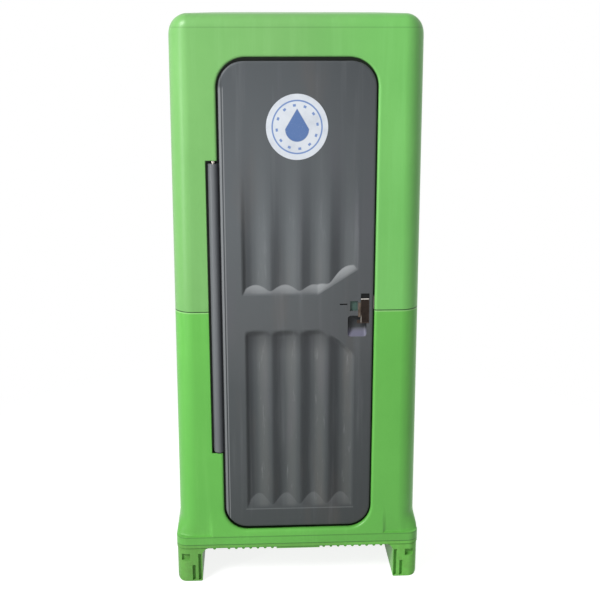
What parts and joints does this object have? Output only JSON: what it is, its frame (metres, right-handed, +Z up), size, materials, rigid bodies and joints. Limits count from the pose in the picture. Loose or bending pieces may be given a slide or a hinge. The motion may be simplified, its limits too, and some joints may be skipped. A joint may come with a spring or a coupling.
{
  "type": "portable chemical toilet",
  "caption": "Upright single-user portable toilet cabin on fork runners: two moulded half shells, hinged fluted door with latch and lock, and a tank with seat, urinal and vents inside.",
  "frame": {"origin": "on the ground, under the middle of the cabin's outer box", "axes": "+Z up, the door faces -Y and is hinged on the -X side"},
  "size_m": [1.01, 1.06, 2.3],
  "materials": {
    "shell_green": "satin moulded plastic with a faint grain",
    "door_grey": "satin moulded plastic with a faint grain",
    "moulded_black": "satin black moulded plastic",
    "pale_grey": "pale grey plastic",
    "white_plastic": "smooth white plastic",
    "paper": "soft white tissue paper",
    "card": "brown card tube",
    "rubber": "black rubber",
    "steel": "brushed stainless steel",
    "flag_green": "green plastic"
  },
  "bodies": {
    "cabin": {"upper_shell": "shell_green", "lower_shell": "shell_green", "base_pallet": "shell_green", "runner_left": "shell_green", "runner_right": "shell_green", "floor_panel": "door_grey", "seam_bolt_1": "steel", "seam_bolt_2": "steel", "seam_bolt_3": "steel", "seam_bolt_4": "steel", "seam_bolt_5": "steel", "seam_bolt_6": "steel", "hinge_rod": "steel", "hinge_washer": "moulded_black", "keeper_plate": "steel", "waste_tank": "moulded_black", "seat_bracket_left": "pale_grey", "seat_bracket_right": "pale_grey", "seat_hinge_pin": "steel", "vent_pipe": "pale_grey", "vent_clip_lower": "pale_grey", "vent_clip_upper": "pale_grey", "rear_vent_grille": "pale_grey", "side_vent_left": "shell_green", "side_vent_right": "shell_green", "urinal_bowl": "white_plastic", "urinal_drain_pipe": "pale_grey", "paper_holder": "pale_grey", "paper_spindle": "pale_grey", "coat_hook": "steel"},
    "door": {"door_panel": "door_grey", "hinge_barrel": "door_grey", "hinge_bush_bottom": "moulded_black", "hinge_bush_top": "moulded_black", "door_label": "white_plastic", "latch_guide": "steel", "lock_housing": "moulded_black", "housing_screw_1": "steel", "housing_screw_2": "steel", "housing_screw_3": "steel", "housing_screw_4": "steel", "door_pull": "moulded_black"},
    "latch": {"latch_slide": "steel"},
    "lock_knob": {"lock_knob": "moulded_black"},
    "lock_bolt": {"lock_bolt": "steel", "indicator_flag": "flag_green"},
    "seat": {"seat_ring": "moulded_black", "seat_bumper_1": "rubber", "seat_bumper_2": "rubber", "seat_bumper_3": "rubber", "seat_bumper_4": "rubber"},
    "lid": {"seat_lid": "moulded_black"},
    "roll": {"paper_core": "card", "paper_roll": "paper"}
  },
  "joints": [
    {"name": "door_swing", "type": "hinge", "parent": "cabin", "child": "door", "pos_m": [-0.32, -0.5029, 1.16], "axis": [0, 0, -1], "range_deg": [0, 110]},
    {"name": "latch_lift", "type": "slide", "parent": "door", "child": "latch", "axis": [0, 0, 1], "range_m": [0, 0.009]},
    {"name": "bolt_slide", "type": "slide", "parent": "door", "child": "lock_bolt", "axis": [1, 0, 0], "range_m": [0, 0.03]},
    {"name": "lock_turn", "type": "hinge", "parent": "door", "child": "lock_knob", "pos_m": [0.245, -0.47, 1.187], "axis": [0, 1, 0], "range_deg": [0, 90]},
    {"name": "seat_turn", "type": "hinge", "parent": "cabin", "child": "seat", "pos_m": [0, 0.41361, 0.6248], "axis": [-1, 0, 0], "range_deg": [0, 95]},
    {"name": "lid_turn", "type": "hinge", "parent": "cabin", "child": "lid", "pos_m": [0, 0.41361, 0.6248], "axis": [-1, 0, 0], "range_deg": [-100, 0]},
    {"name": "roll_turn", "type": "hinge", "parent": "cabin", "child": "roll", "pos_m": [0.40837, 0.11361, 0.88], "axis": [0, 1, 0], "continuous": true}
  ],
  "couplings": [
    {"joint": "lock_turn", "follows": "bolt_slide", "rad_per_m": 52.35}
  ]
}
